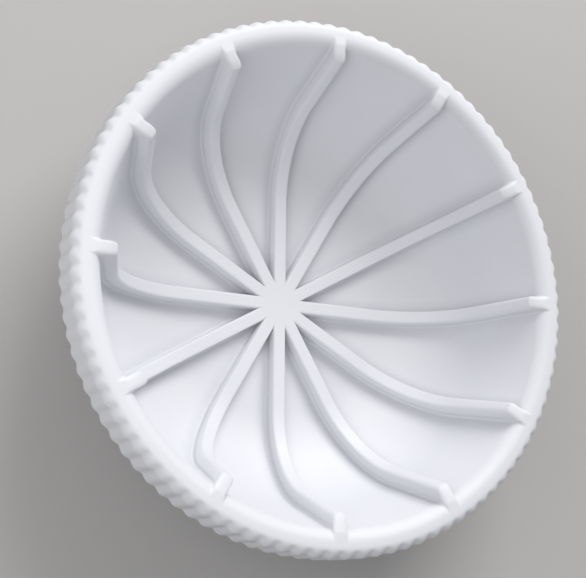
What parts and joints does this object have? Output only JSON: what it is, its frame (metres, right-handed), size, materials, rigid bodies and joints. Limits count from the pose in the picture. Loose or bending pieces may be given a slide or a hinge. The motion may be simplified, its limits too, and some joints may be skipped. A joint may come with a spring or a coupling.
{
  "type": "silicone casting mould",
  "caption": "Round deep-dish casting mould in soft white silicone, with radial inner ribs from a central hub to a rounded lip and a fluted outer band.",
  "frame": {"origin": "centre of the flat underside, on the mould's axis", "axes": "+Z along the mould's axis, out of its open mouth; +X along the middle of rib_01"},
  "size_m": [0.2, 0.2, 0.0617],
  "materials": {
    "silicone": "soft white silicone rubber, satin to matt, very slightly cool"
  },
  "bodies": {
    "root": {"base_disc": "silicone", "bowl_wall": "silicone", "lip_ring": "silicone", "fluted_band": "silicone", "centre_hub": "silicone", "rib_01": "silicone", "rib_02": "silicone", "rib_03": "silicone", "rib_04": "silicone", "rib_05": "silicone", "rib_06": "silicone", "rib_07": "silicone", "rib_08": "silicone", "rib_09": "silicone", "rib_10": "silicone", "rib_11": "silicone", "rib_12": "silicone"}
  },
  "joints": []
}
